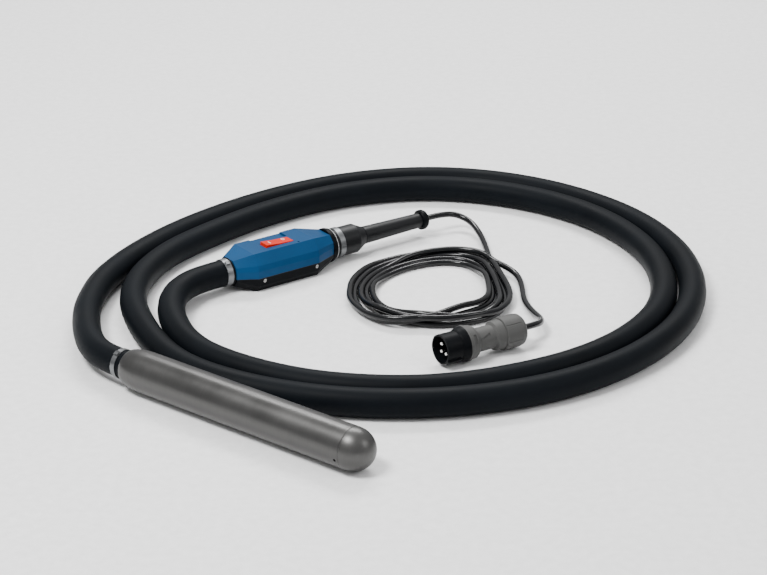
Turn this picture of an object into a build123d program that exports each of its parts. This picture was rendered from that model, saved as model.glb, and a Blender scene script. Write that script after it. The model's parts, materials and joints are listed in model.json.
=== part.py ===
from build123d import *
import math
import os

os.makedirs("parts", exist_ok=True)

# ------------------------------------------------------------------
# High-frequency internal concrete vibrator: a vibrating head on a
# protective hose, a switch housing with a grip, and a supply cord
# with a round three-pin plug, laid out on a flat floor.
# Millimetres, +Z up, floor at z = 0, origin under the centre of the
# box round the head and the switch housing.
# ------------------------------------------------------------------

# driving dimensions
HEAD_R = 27.5            # head tube radius
HEAD_BORE_R = 23.2       # bore of the head tube
HEAD_L = 402.0           # shoulder face to tip end
TIP_SEAM = 371.0         # station of the joint between tube and tip
HOSE_R = 19.0            # protective hose outside radius
HOSE_BORE_R = 13.0       # protective hose bore radius
LEAD_R = 5.5             # power lead inside the hose
CORD_R = 4.4             # supply cord radius
CORD_D = 2 * CORD_R
SHAFT_R = 7.5            # rotor shaft radius at the bearings
BRG_R = 17.5             # bearing outside radius
BRG_W = 11.0             # bearing width
BRG_AT = [76.0, 213.0, 340.0]   # bearing stations in the head
CORE_A, CORE_B = 102.0, 196.0   # stator and rotor core stations
PLUG_SHROUD_R = 20.2
WALL = 3.0

# assembly planes: local X runs along each axis, local Y points up
HEAD_ANG = -38.64
SW_ANG = 36.25
PLUG_ANG = 32.18


def axis_plane(x, y, z, ang):
    c, s = math.cos(math.radians(ang)), math.sin(math.radians(ang))
    return Plane(origin=(x, y, z), x_dir=(c, s, 0), z_dir=(s, -c, 0))


HEAD = axis_plane(-185.2, -136.4, 27.5, HEAD_ANG)
SW = axis_plane(-88.5, 171.8, 26.0, SW_ANG)
PLUG = axis_plane(215.9, -81.3, 24.5, PLUG_ANG)


def axis_of(pl):
    return Axis(pl.origin, pl.x_dir)


def station(pl, s):
    """Plane across an assembly axis at distance s: local Y up, Z along the axis."""
    a = pl.x_dir
    return Plane(origin=pl.origin + a * s, x_dir=(-a.Y, a.X, 0), z_dir=a)


def save(solid, name):
    solid.label = name
    export_step(solid, "parts/" + name + ".step")


def turned(pl, pts, name=None):
    """Solid of revolution about an assembly axis from (station, radius) corners."""
    with BuildPart() as b:
        with BuildSketch(pl) as sk:
            with BuildLine():
                Polyline(*pts, close=True)
            make_face()
        revolve(axis=axis_of(pl))
    if name:
        save(b.part, name)
    return b


def rings(pl, spans, r0, r1, name):
    """Plain rings between two radii, one for each pair of stations."""
    with BuildPart() as b:
        for a, c in spans:
            with BuildSketch(station(pl, a)):
                Circle(r1)
                if r0 > 0:
                    Circle(r0, mode=Mode.SUBTRACT)
            extrude(amount=c - a)
    save(b.part, name)
    return b


# ==================================================================
# VIBRATING HEAD
# ==================================================================

# tube with a necked rear shoulder; the tip screws into its front end
with BuildPart() as head_tube:
    with BuildSketch(HEAD):
        with BuildLine():
            Line((38.0, HEAD_R), (TIP_SEAM - 0.4, HEAD_R))
            Line((TIP_SEAM - 0.4, HEAD_R), (TIP_SEAM, HEAD_R - 0.4))
            Line((TIP_SEAM, HEAD_R - 0.4), (TIP_SEAM, HEAD_BORE_R))
            Line((TIP_SEAM, HEAD_BORE_R), (60, HEAD_BORE_R))
            Line((60, HEAD_BORE_R), (38, 19))
            Line((38, 19), (20, 19))
            Line((20, 19), (20, 12.2))
            Line((20, 12.2), (2.5, 12.2))
            Line((2.5, 12.2), (2.5, 19.9))
            EllipticalCenterArc((38.0, 19.9), 35.5, HEAD_R - 19.9, start_angle=90, arc_size=90)
        make_face()
    revolve(axis=axis_of(HEAD))
    # blind spanner hole beside the seam
    near = station(HEAD, 366).x_dir * -math.cos(math.radians(15)) + Vector(0, 0, -math.sin(math.radians(15)))
    with BuildSketch(Plane(origin=HEAD.origin + HEAD.x_dir * 366 + near * 24.4, x_dir=HEAD.x_dir, z_dir=near)):
        Circle(2.0)
    extrude(amount=6, mode=Mode.SUBTRACT)
save(head_tube.part, "head_tube")

# screwed tip: blunt round nose, spigot and front bearing pocket
with BuildPart() as head_tip:
    with BuildSketch(HEAD):
        with BuildLine():
            EllipticalCenterArc((TIP_SEAM + 1.5, 0), HEAD_L - TIP_SEAM - 1.5, HEAD_R, start_angle=0, arc_size=90)
            Line((TIP_SEAM + 1.5, HEAD_R), (TIP_SEAM + 0.6, HEAD_R))
            Line((TIP_SEAM + 0.6, HEAD_R), (TIP_SEAM + 0.1, HEAD_R - 0.5))
            Line((TIP_SEAM + 0.1, HEAD_R - 0.5), (TIP_SEAM + 0.1, 23.0))
            Line((TIP_SEAM + 0.1, 23.0), (357.6, 23.0))
            Line((357.6, 23.0), (357.6, 20.4))
            Line((357.6, 20.4), (354.6, 20.4))
            Line((354.6, 20.4), (354.6, 23.0))
            Line((354.6, 23.0), (339, 23.0))
            Line((339, 23.0), (339, BRG_R + 0.02))
            Line((339, BRG_R + 0.02), (352.2, BRG_R + 0.02))
            Line((352.2, BRG_R + 0.02), (352.2, 11))
            Line((352.2, 11), (358, 11))
            Line((358, 11), (358, 0))
            Line((358, 0), (HEAD_L, 0))
        make_face()
    revolve(axis=axis_of(HEAD))
save(head_tip.part, "head_tip")

# O-ring under the tip's spigot
with BuildPart() as tip_o_ring:
    with BuildSketch(HEAD):
        with Locations((356.1, 21.75)):
            Circle(1.3)
    revolve(axis=axis_of(HEAD))

# hose nipple of the head: barbed tail in the hose, threaded body in the shoulder
with BuildPart() as head_nipple:
    with BuildSketch(HEAD):
        with BuildLine():
            Polyline((-15.0, 8), (-15.0, 11.8), (-10.5, 12.9), (-10.5, 12.2), (-6, 12.9), (-6, 12.2),
                     (-1.5, 12.9), (-1.5, 12.1), (6.6, 12.1), (6.6, 10.1),
                     (9.4, 10.1), (9.4, 12.1), (27, 12.1), (27, 8), close=True)
        make_face()
    revolve(axis=axis_of(HEAD))
save(head_nipple.part, "head_nipple")

with BuildPart() as nipple_o_ring:
    with BuildSketch(HEAD):
        with Locations((8.0, 11.15)):
            Circle(0.98)
    revolve(axis=axis_of(HEAD))
with BuildPart() as head_o_rings:
    add(tip_o_ring.part)
    add(nipple_o_ring.part)
save(head_o_rings.part, "head_o_rings")

# hexagonal lock nut that draws the nipple against the shoulder
with BuildPart() as nipple_locknut:
    with BuildSketch(station(HEAD, 20.1)):
        RegularPolygon(radius=15.6, side_count=6, major_radius=False)
        Circle(12.14, mode=Mode.SUBTRACT)
    extrude(amount=6.4)
    chamfer(nipple_locknut.edges().filter_by(GeomType.LINE).filter_by(lambda e: abs(e.length - 18.01) < 0.2), 0.6)
save(nipple_locknut.part, "nipple_locknut")

# crimped band that holds the hose on the head nipple, with its small closing ear
with BuildPart() as head_hose_band:
    with BuildSketch(station(HEAD, -13.0)):
        Circle(HOSE_R + 0.95)
        Circle(HOSE_R + 0.03, mode=Mode.SUBTRACT)
    extrude(amount=7.5)
    chamfer(head_hose_band.edges().filter_by(GeomType.CIRCLE).filter_by(lambda e: e.radius > HOSE_R + 0.5), 0.25)
save(head_hose_band.part, "head_hose_band")

# splice block for the three motor phases, carried behind the rear shield
with BuildPart() as splice_block:
    with BuildSketch(station(HEAD, 42)):
        Circle(17.0)
        with PolarLocations(3.5, 3, start_angle=90):
            Circle(2.1, mode=Mode.SUBTRACT)
    extrude(amount=16)
    with BuildSketch(station(HEAD, 42)):
        with PolarLocations(11.5, 3, start_angle=30):
            Circle(2.6)
    extrude(amount=5, mode=Mode.SUBTRACT)
save(splice_block.part, "splice_block")

# crimped ferrules and the three cores that leave the power lead
with BuildPart() as splice_ferrules:
    with BuildSketch(station(HEAD, 43)):
        with PolarLocations(3.5, 3, start_angle=90):
            Circle(2.05)
            Circle(1.45, mode=Mode.SUBTRACT)
    extrude(amount=14)

with BuildPart() as phase_cores:
    with BuildSketch(station(HEAD, 8.05)):
        with PolarLocations(3.5, 3, start_angle=90):
            Circle(1.4)
    extrude(amount=48)
with BuildPart() as crimped_cores:
    add(splice_ferrules.part)
    add(phase_cores.part)
save(crimped_cores.part, "head_phase_cores")

# three wires from the splice block through the rear shield to the windings
with BuildPart() as one_wire:
    with BuildLine(HEAD) as wire_path:
        FilletPolyline((58.4, 12.0), (64, 12.8), (69.5, 20.2), (91.4, 20.2), radius=[2.6, 4.0])
    with BuildSketch(Plane(origin=wire_path.line @ 0, z_dir=wire_path.line % 0)):
        Circle(1.1)
    sweep(path=wire_path.wires()[0])
with BuildPart() as motor_leads:
    for k in range(3):
        add(one_wire.part.rotate(axis_of(HEAD), 120 * k))
save(motor_leads.part, "motor_leads")

with BuildPart() as thermal_cutout:
    with BuildSketch(station(HEAD, 62.5)):
        with Locations((0, -15.5)):
            RectangleRounded(9, 6, 1.2)
    extrude(amount=8)
save(thermal_cutout.part, "thermal_cutout")

# cast end shields that hold the bearings and the stator
with BuildPart() as rear_shield:
    with BuildSketch(HEAD):
        with BuildLine():
            Polyline((72, 9.5), (72, 23.15), (90.5, 23.15), (90.5, 21.0), (88, BRG_R + 0.02), (76, BRG_R + 0.02),
                     (76, 14.2), (74.8, 14.2), (74.8, 9.5), close=True)
        make_face()
    revolve(axis=axis_of(HEAD))
    with BuildSketch(station(HEAD, 71.9)):
        with PolarLocations(20.2, 3, start_angle=90):
            Circle(1.5)
    extrude(amount=20, mode=Mode.SUBTRACT)
save(rear_shield.part, "rear_shield")

with BuildPart() as middle_shield:
    with BuildSketch(HEAD):
        with BuildLine():
            Polyline((208.0, 20.8), (208.0, 23.15), (228, 23.15), (228, 9.5), (225.2, 9.5), (225.2, 14.2),
                     (224, 14.2), (224, BRG_R + 0.02), (210, BRG_R + 0.02), close=True)
        make_face()
    revolve(axis=axis_of(HEAD))
save(middle_shield.part, "middle_shield")

# stator: laminated core with twelve slots, windings in the slots and in two end turns
SLOTS = 12
with BuildPart() as stator_core:
    with BuildSketch(station(HEAD, CORE_A)):
        Circle(23.15)
        Circle(13.7, mode=Mode.SUBTRACT)
        with PolarLocations(17.4, SLOTS):
            RectangleRounded(5.6, 3.8, 0.8, mode=Mode.SUBTRACT)
        with PolarLocations(14.2, SLOTS):
            Rectangle(2.0, 1.0, mode=Mode.SUBTRACT)
    extrude(amount=CORE_B - CORE_A)
save(stator_core.part, "stator_core")

with BuildPart() as stator_windings:
    for a, b in ((91.6, CORE_A - 0.05), (CORE_B + 0.05, 206.6)):
        with BuildSketch(station(HEAD, a)):
            Circle(20.6)
            Circle(14.4, mode=Mode.SUBTRACT)
        extrude(amount=b - a)
    with BuildSketch(station(HEAD, CORE_A - 0.5)):
        with PolarLocations(17.4, SLOTS):
            RectangleRounded(5.3, 3.5, 0.7)
    extrude(amount=CORE_B - CORE_A + 1.0)
save(stator_windings.part, "stator_windings")

# rotor: shaft, core with end rings, out-of-balance weight
with BuildPart() as rotor_shaft:
    with BuildSketch(HEAD):
        with BuildLine():
            Polyline((75.2, 0), (75.2, 6.9), (75.8, SHAFT_R), (87.0, SHAFT_R), (87.0, 8.6), (212.95, 8.6),
                     (212.95, SHAFT_R), (224.5, SHAFT_R), (224.5, 8.6), (339.0, 8.6), (339.0, SHAFT_R),
                     (351.2, SHAFT_R), (351.8, 6.9), (351.8, 0), close=True)
        make_face()
    revolve(axis=axis_of(HEAD))
save(rotor_shaft.part, "rotor_shaft")

with BuildPart() as rotor_core:
    with BuildSketch(station(HEAD, CORE_A)):
        Circle(13.25)
        Circle(8.62, mode=Mode.SUBTRACT)
    extrude(amount=CORE_B - CORE_A)
    for a, b in ((CORE_A - 4, CORE_A), (CORE_B, CORE_B + 4)):
        with BuildSketch(station(HEAD, a)):
            Circle(12.6)
            Circle(9.4, mode=Mode.SUBTRACT)
        extrude(amount=b - a)
save(rotor_core.part, "rotor_core")

with BuildPart() as eccentric_weight:
    with BuildSketch(station(HEAD, 234)):
        with BuildLine():
            CenterArc((0, 0), 21.6, 180, 180)
            Line((21.6, 0), (12, 6.5))
            Line((12, 6.5), (-12, 6.5))
            Line((-12, 6.5), (-21.6, 0))
        make_face()
        Circle(8.62, mode=Mode.SUBTRACT)
    extrude(amount=98)
    # counterbored cross bolts that pinch the weight on the shaft
    for s in (252.0, 314.0):
        with BuildSketch(Plane(origin=HEAD.origin + HEAD.x_dir * s, x_dir=HEAD.x_dir, z_dir=(0, 0, 1))):
            with Locations((0, 13.0), (0, -13.0)):
                Circle(2.05)
        extrude(amount=30, both=True, mode=Mode.SUBTRACT)
        with BuildSketch(Plane(origin=HEAD.origin + HEAD.x_dir * s + Vector(0, 0, 2.4), x_dir=HEAD.x_dir, z_dir=(0, 0, 1))):
            with Locations((0, 13.0), (0, -13.0)):
                Circle(3.7)
        extrude(amount=12, mode=Mode.SUBTRACT)
save(eccentric_weight.part, "eccentric_weight")

with BuildPart() as weight_bolts:
    for s in (252.0, 314.0):
        with BuildSketch(Plane(origin=HEAD.origin + HEAD.x_dir * s + Vector(0, 0, -14.0), x_dir=HEAD.x_dir, z_dir=(0, 0, 1))):
            with Locations((0, 13.0), (0, -13.0)):
                Circle(2.0)
        extrude(amount=16.45)
        with BuildSketch(Plane(origin=HEAD.origin + HEAD.x_dir * s + Vector(0, 0, 2.45), x_dir=HEAD.x_dir, z_dir=(0, 0, 1))):
            with Locations((0, 13.0), (0, -13.0)):
                Circle(3.5)
        extrude(amount=3.6)
save(weight_bolts.part, "weight_bolts")

# three ball bearings, their rings, balls and cages grouped by how they turn
RACE_R = 12.5
BALL_R = 2.9
with BuildPart() as bearing_outer_rings:
    for s in BRG_AT:
        with BuildSketch(HEAD):
            with BuildLine():
                Polyline((s, 14.4), (s, BRG_R), (s + BRG_W, BRG_R), (s + BRG_W, 14.4), close=True)
            make_face()
            with Locations((s + BRG_W / 2, RACE_R)):
                Circle(BALL_R + 0.08, mode=Mode.SUBTRACT)
        revolve(axis=axis_of(HEAD))
save(bearing_outer_rings.part, "bearing_outer_rings")

with BuildPart() as bearing_inner_rings:
    for s in BRG_AT:
        with BuildSketch(HEAD):
            with BuildLine():
                Polyline((s, SHAFT_R + 0.01), (s, 10.6), (s + BRG_W, 10.6), (s + BRG_W, SHAFT_R + 0.01), close=True)
            make_face()
            with Locations((s + BRG_W / 2, RACE_R)):
                Circle(BALL_R + 0.08, mode=Mode.SUBTRACT)
        revolve(axis=axis_of(HEAD))
save(bearing_inner_rings.part, "bearing_inner_rings")

BALLS = 8
with BuildPart() as bearing_balls:
    for s in BRG_AT:
        with Locations(station(HEAD, s + BRG_W / 2)):
            with PolarLocations(RACE_R, BALLS):
                Sphere(BALL_R)
save(bearing_balls.part, "bearing_balls")

with BuildPart() as bearing_cages:
    for s in BRG_AT:
        with BuildSketch(station(HEAD, s + BRG_W / 2 - 2.4)):
            Circle(13.1)
            Circle(11.9, mode=Mode.SUBTRACT)
        extrude(amount=4.8)
        with Locations(station(HEAD, s + BRG_W / 2)):
            with PolarLocations(RACE_R, BALLS):
                Sphere(BALL_R + 0.05, mode=Mode.SUBTRACT)
save(bearing_cages.part, "bearing_cages")

# spring washer that preloads the front bearing against the tip
with BuildPart() as preload_washer:
    with BuildSketch(station(HEAD, 351.05)):
        Circle(17.0)
        Circle(14.6, mode=Mode.SUBTRACT)
    extrude(amount=1.1)
save(preload_washer.part, "preload_washer")

# ==================================================================
# PROTECTIVE HOSE AND THE LEAD INSIDE IT
# ==================================================================

HOSE_ROUTE = [
    (-186.4, -135.5, 27.5), (-211.4, -115.5, 27.5), (-236.7, -79.7, 26.6), (-252.9, -18.7, 24.2),
    (-263.4, 70.3, 21.2), (-249.7, 184.0, 19.3), (-189.0, 308.0, 19.0), (-111.8, 407.4, 19.0),
    (-16.8, 495.1, 19.0), (93.7, 559.6, 19.0), (221.5, 584.0, 19.0), (347.6, 553.6, 19.0),
    (453.1, 479.9, 19.0), (532.1, 377.2, 19.0), (573.2, 256.4, 19.0), (576.5, 126.6, 19.0),
    (540.7, 3.3, 19.0), (466.8, -102.9, 19.0), (365.8, -182.6, 19.0), (243.7, -225.8, 19.0),
    (114.9, -231.6, 19.0), (-10.1, -199.5, 19.0), (-121.2, -125.5, 19.0), (-178.5, -9.0, 19.0),
    (-211.1, 118.5, 19.0), (-182.6, 245.8, 19.0), (-106.6, 350.8, 19.0), (-19.4, 443.3, 19.0),
    (88.3, 514.6, 19.0), (215.4, 543.1, 19.0), (340.5, 511.3, 19.0), (444.8, 434.5, 19.0),
    (512.7, 324.0, 19.0), (539.2, 198.8, 19.0), (525.6, 69.2, 19.0), (465.2, -42.5, 19.0),
    (367.9, -131.2, 19.0), (217.8, -193.8, 19.0), (70.6, -185.3, 19.0), (-36.5, -136.1, 19.9),
    (-109.1, -71.3, 21.4), (-143.4, 19.4, 23.0), (-148.4, 85.8, 24.8), (-133.9, 128.8, 25.8),
    (-107.9, 157.6, 26.0), (-76.8, 180.4, 26.0),
]
CORD_START = [
    (207.9, 389.2, 26.0), (226.6, 402.9, 25.6), (250.6, 416.3, 22.0), (273.1, 402.8, 15.5),
    (285.6, 369.8, 9.2), (292.1, 330.8, 5.6), (295.9, 284.8, 4.6),
]
CORD_END = [
    (301.8, 246.3, 14.2), (317.8, 234.8, 11.0), (333.9, 213.3, 7.0), (337.8, 175.8, 4.7),
    (337.5, 134.1, 4.6), (341.6, 104.8, 5.4), (349.3, 72.8, 8.5), (355.8, 44.8, 13.5),
    (354.3, 18.8, 19.0), (342.9, -1.4, 23.6), (323.8, -13.4, 24.5),
]
SHARE = 0.45


def corner_radii(pts):
    out = []
    for a, b, c in zip(pts, pts[1:], pts[2:]):
        u, v = Vector(*b) - Vector(*a), Vector(*c) - Vector(*b)
        out.append(SHARE * min(u.length, v.length) / math.tan(math.radians(u.get_angle(v)) / 2))
    return out


def laid_tube(pts, r_out, r_in, name):
    """Round tube along straight runs joined by tangent arcs."""
    radii = corner_radii(pts)
    with BuildPart() as b:
        with BuildLine() as path:
            FilletPolyline(*pts, radius=radii)
        wire = path.wires()[0]
        with BuildSketch(Plane(origin=pts[0], z_dir=Vector(*pts[1]) - Vector(*pts[0]))):
            Circle(r_out)
            if r_in:
                Circle(r_in, mode=Mode.SUBTRACT)
        sweep(path=wire)
    area = math.pi * (r_out ** 2 - r_in ** 2)
    print(name, "length", round(wire.length, 1), "volume/section*length", round(b.part.volume / (area * wire.length), 5))
    print("   radii", [round(r) for r in radii])
    save(b.part, name)
    return b


h_dir = Vector(HEAD.x_dir)
s_dir = Vector(SW.x_dir)


def tup(v):
    return (v.X, v.Y, v.Z)


# both ends of the hose run straight into their nipples
HOSE_ROUTE[0] = tup(HEAD.origin + h_dir * 2.45)
HOSE_ROUTE[1] = tup(HEAD.origin - h_dir * 33.5)
HOSE_ROUTE[-2] = tup(SW.origin - s_dir * 24.1)
HOSE_ROUTE[-1] = tup(SW.origin + s_dir * 14.5)
hose = laid_tube(HOSE_ROUTE, HOSE_R, HOSE_BORE_R, "protective_hose")

lead_route = [tup(HEAD.origin + h_dir * 8.0)] + HOSE_ROUTE[1:-1] + [tup(SW.origin + s_dir * 14.0)]
lead = laid_tube(lead_route, LEAD_R, 0, "hose_power_lead")

# ==================================================================
# SWITCH HOUSING, GRIP AND CORD OUTLET
# ==================================================================

WIDE = 5.0             # height of the widest edge above the axis
SPLIT = -6.0           # parting plane, below the axis
n_dir = Vector(-s_dir.Y, s_dir.X, 0)
SIDE_SCREWS = [(52.0, 38.0), (141.0, 38.0)]   # station and half width of the shell there
SIDE_Z = -10.6
SEC_END_A = [(-14, -18.5), (14, -18.5), (21.5, -9), (22, WIDE), (20.5, 11), (12, 19.5), (-12, 19.5), (-20.5, 11), (-22, WIDE), (-21.5, -9)]
SEC_FULL = [(-32, -26), (32, -26), (38, -17), (38, WIDE), (36, 13), (25, 27.5), (-25, 27.5), (-36, 13), (-38, WIDE), (-38, -17)]
SEC_END_B = [(-15, -20), (15, -20), (23.5, -10), (24, WIDE), (22.5, 12), (14, 21), (-14, 21), (-22.5, 12), (-24, WIDE), (-23.5, -10)]
S_A, S_F1, S_F2, S_B = 15.3, 42.0, 144.5, 180.0


def inset(sec, d):
    out = []
    for x, y in sec:
        out.append((x - math.copysign(min(abs(x), d), x), (y - math.copysign(d, y)) if y != WIDE else y))
    return out


def housing_blank(d=0.0, ends=0.0):
    """Faceted barrel through four cross-sections; d insets it for the cavity."""
    with BuildPart() as b:
        for (s0, sec0), (s1, sec1) in (((S_A + ends, SEC_END_A), (S_F1, SEC_FULL)), ((S_F1, SEC_FULL), (S_F2, SEC_FULL)), ((S_F2, SEC_FULL), (S_B - ends, SEC_END_B))):
            with BuildSketch(station(SW, s0)):
                with BuildLine():
                    Polyline(*inset(sec0, d), close=True)
                make_face()
            with BuildSketch(station(SW, s1)):
                with BuildLine():
                    Polyline(*inset(sec1, d), close=True)
                make_face()
            loft(ruled=True)
    return b.part


blank = housing_blank()
cavity = housing_blank(WALL, 5.0)

# half-space blocks above and below the parting plane
split_frame = Plane(origin=SW.origin + s_dir * 97.5 + Vector(0, 0, SPLIT), x_dir=s_dir, z_dir=(0, 0, 1))
GASKET = 0.8

with BuildPart() as upper_cover:
    add(blank)
    add(cavity, mode=Mode.SUBTRACT)
    with BuildSketch(split_frame.offset(GASKET / 2)):
        Rectangle(260, 120)
    extrude(amount=-60, mode=Mode.SUBTRACT)
    # recessed top panel round the rocker
    with BuildSketch(Plane(origin=SW.origin + s_dir * 93.0 + Vector(0, 0, 24.9), x_dir=s_dir, z_dir=(0, 0, 1))):
        with Locations((-0.5, 19.5)):
            Rectangle(53, 25)
    extrude(amount=10, mode=Mode.SUBTRACT)
    # inner lip that keeps the panel 2.5 mm thick, and the rocker window
    with BuildSketch(Plane(origin=SW.origin + s_dir * 93.0 + Vector(0, 0, 22.0), x_dir=s_dir, z_dir=(0, 0, 1))):
        Rectangle(62, 47)
    extrude(amount=2.9)
    with BuildSketch(Plane(origin=SW.origin + s_dir * 93.0 + Vector(0, 0, 14.0), x_dir=s_dir, z_dir=(0, 0, 1))):
        with Locations((0, -6.0)):
            Rectangle(47.4, 18.8)
    extrude(amount=20, mode=Mode.SUBTRACT)
    # round openings at the two ends
    with BuildSketch(station(SW, S_A - 1)):
        Circle(13.2)
    extrude(amount=12, mode=Mode.SUBTRACT)
    with BuildSketch(station(SW, S_B - 11)):
        Circle(13.2)
    extrude(amount=12, mode=Mode.SUBTRACT)
    # blind dimple on the near ridge
    with BuildSketch(Plane(origin=SW.origin + s_dir * 120.0 + Vector(0, 0, 26.3), x_dir=s_dir, z_dir=(0, 0, 1))):
        with Locations((0, -21.7)):
            Circle(1.7)
    extrude(amount=4, mode=Mode.SUBTRACT)
    # four screw bosses
    with BuildSketch(split_frame.offset(GASKET / 2)):
        with Locations((-50, 24), (-50, -24), (42, 27), (42, -27)):
            Circle(4.2)
    extrude(amount=23)
    with BuildSketch(split_frame.offset(GASKET / 2)):
        with Locations((-50, 24), (-50, -24), (42, 27), (42, -27)):
            Circle(1.75)
    extrude(amount=19, mode=Mode.SUBTRACT)
save(upper_cover.part, "switch_upper_cover")

with BuildPart() as lower_shell:
    add(blank)
    add(cavity, mode=Mode.SUBTRACT)
    with BuildSketch(split_frame.offset(-GASKET / 2)):
        Rectangle(260, 120)
    extrude(amount=60, mode=Mode.SUBTRACT)
    with BuildSketch(station(SW, S_A - 1)):
        Circle(13.2)
    extrude(amount=12, mode=Mode.SUBTRACT)
    with BuildSketch(station(SW, S_B - 11)):
        Circle(13.2)
    extrude(amount=12, mode=Mode.SUBTRACT)
    # screw posts from the floor of the shell up to the parting plane, counterbored from below
    with BuildSketch(Plane(origin=SW.origin + s_dir * 97.5 + Vector(0, 0, -24.5), x_dir=s_dir, z_dir=(0, 0, 1))):
        with Locations((-50, 24), (-50, -24), (42, 27), (42, -27)):
            Circle(4.6)
    extrude(amount=24.5 + SPLIT - GASKET / 2)
    with BuildSketch(Plane(origin=SW.origin + s_dir * 97.5 + Vector(0, 0, -30.0), x_dir=s_dir, z_dir=(0, 0, 1))):
        with Locations((-50, 24), (-50, -24), (42, 27), (42, -27)):
            Circle(2.1)
    extrude(amount=36, mode=Mode.SUBTRACT)
    with BuildSketch(Plane(origin=SW.origin + s_dir * 97.5 + Vector(0, 0, -30.0), x_dir=s_dir, z_dir=(0, 0, 1))):
        with Locations((-50, 24), (-50, -24), (42, 27), (42, -27)):
            Circle(3.4)
    extrude(amount=14, mode=Mode.SUBTRACT)
    # side screw heads sit in shallow round pockets
    for s, h in SIDE_SCREWS:
        for side in (1, -1):
            face = Plane(origin=SW.origin + s_dir * s + n_dir * (side * (h - 2.2)) + Vector(0, 0, SIDE_Z), x_dir=s_dir, z_dir=n_dir * side)
            with BuildSketch(face):
                Circle(2.85)
            extrude(amount=8, mode=Mode.SUBTRACT)
            with BuildSketch(face):
                Circle(1.6)
            extrude(amount=-4.2, mode=Mode.SUBTRACT)
save(lower_shell.part, "switch_lower_shell")

# flat gasket on the parting plane, following the wall
with BuildPart() as cover_gasket:
    add(blank)
    add(cavity, mode=Mode.SUBTRACT)
    with BuildSketch(split_frame.offset(GASKET / 2 - 0.02)):
        Rectangle(260, 120)
    extrude(amount=60, mode=Mode.SUBTRACT)
    with BuildSketch(split_frame.offset(-GASKET / 2 + 0.02)):
        Rectangle(260, 120)
    extrude(amount=-60, mode=Mode.SUBTRACT)
    with BuildSketch(station(SW, S_A - 1)):
        Circle(13.2)
    extrude(amount=12, mode=Mode.SUBTRACT)
    with BuildSketch(station(SW, S_B - 11)):
        Circle(13.2)
    extrude(amount=12, mode=Mode.SUBTRACT)
save(cover_gasket.part, "cover_gasket")

with BuildPart() as cover_screws:
    with BuildSketch(Plane(origin=SW.origin + s_dir * 97.5 + Vector(0, 0, -19.0), x_dir=s_dir, z_dir=(0, 0, 1))):
        with Locations((-50, 24), (-50, -24), (42, 27), (42, -27)):
            Circle(3.1)
    extrude(amount=3.0)
    with BuildSketch(Plane(origin=SW.origin + s_dir * 97.5 + Vector(0, 0, -16.0), x_dir=s_dir, z_dir=(0, 0, 1))):
        with Locations((-50, 24), (-50, -24), (42, 27), (42, -27)):
            Circle(1.7)
    extrude(amount=25.5)
save(cover_screws.part, "cover_screws")

with BuildPart() as side_screws:
    for s, h in SIDE_SCREWS:
        for side in (1, -1):
            face = Plane(origin=SW.origin + s_dir * s + n_dir * (side * (h - 2.2)) + Vector(0, 0, SIDE_Z), x_dir=s_dir, z_dir=n_dir * side)
            with BuildSketch(face):
                Circle(2.7)
                SlotOverall(3.8, 0.8, mode=Mode.SUBTRACT)
            extrude(amount=1.6)
            with BuildSketch(face):
                Circle(1.5)
            extrude(amount=-4.0)
            with BuildSketch(face):
                Circle(2.7)
            extrude(amount=0.9)
save(side_screws.part, "side_screws")

# contact block under the rocker, standing on two legs on the shell floor
TOP = Plane(origin=SW.origin, x_dir=s_dir, z_dir=(0, 0, 1))   # local X station, local Y far side
RK_S, RK_H, RK_Z = 93.0, -6.0, 19.0        # rocker pivot
RK_TILT = 4.0                              # half of the rocker travel, degrees
with BuildPart() as contact_block:
    with BuildSketch(TOP.offset(-8)):
        with Locations((RK_S, RK_H)):
            Rectangle(50, 25.2)
    extrude(amount=29.9)
    with BuildSketch(TOP.offset(6)):
        with Locations((RK_S, RK_H)):
            Rectangle(47.4, 19.2)
    extrude(amount=30, mode=Mode.SUBTRACT)
    with BuildSketch(TOP.offset(-22.95)):
        with Locations((RK_S - 20, RK_H), (RK_S + 20, RK_H)):
            Rectangle(5, 18)
    extrude(amount=15)
    with BuildSketch(Plane(origin=SW.origin + s_dir * RK_S + n_dir * (RK_H - 12.0) + Vector(0, 0, RK_Z), x_dir=s_dir, z_dir=n_dir)):
        Circle(1.52)
    extrude(amount=24, mode=Mode.SUBTRACT)
    with BuildSketch(TOP.offset(-12)):
        with Locations((RK_S - 8, RK_H + 5), (RK_S - 8, RK_H - 5), (RK_S + 8, RK_H + 5), (RK_S + 8, RK_H - 5)):
            Circle(1.55)
    extrude(amount=20, mode=Mode.SUBTRACT)
save(contact_block.part, "contact_block")

with BuildPart() as rocker_pin:
    with BuildSketch(Plane(origin=SW.origin + s_dir * RK_S + n_dir * (RK_H - 11.8) + Vector(0, 0, RK_Z), x_dir=s_dir, z_dir=n_dir)):
        Circle(1.5)
    extrude(amount=23.6)
save(rocker_pin.part, "rocker_pin")

with BuildPart() as contact_terminals:
    with BuildSketch(TOP.offset(-8.1)):
        with Locations((RK_S - 8, RK_H + 5), (RK_S - 8, RK_H - 5), (RK_S + 8, RK_H + 5), (RK_S + 8, RK_H - 5)):
            Circle(1.5)
    extrude(amount=15.5)
    with BuildSketch(TOP.offset(-11)):
        with Locations((RK_S - 8, RK_H + 5), (RK_S - 8, RK_H - 5), (RK_S + 8, RK_H + 5), (RK_S + 8, RK_H - 5)):
            Rectangle(5.4, 5.4)
    extrude(amount=2.95)
save(contact_terminals.part, "contact_terminals")

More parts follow.
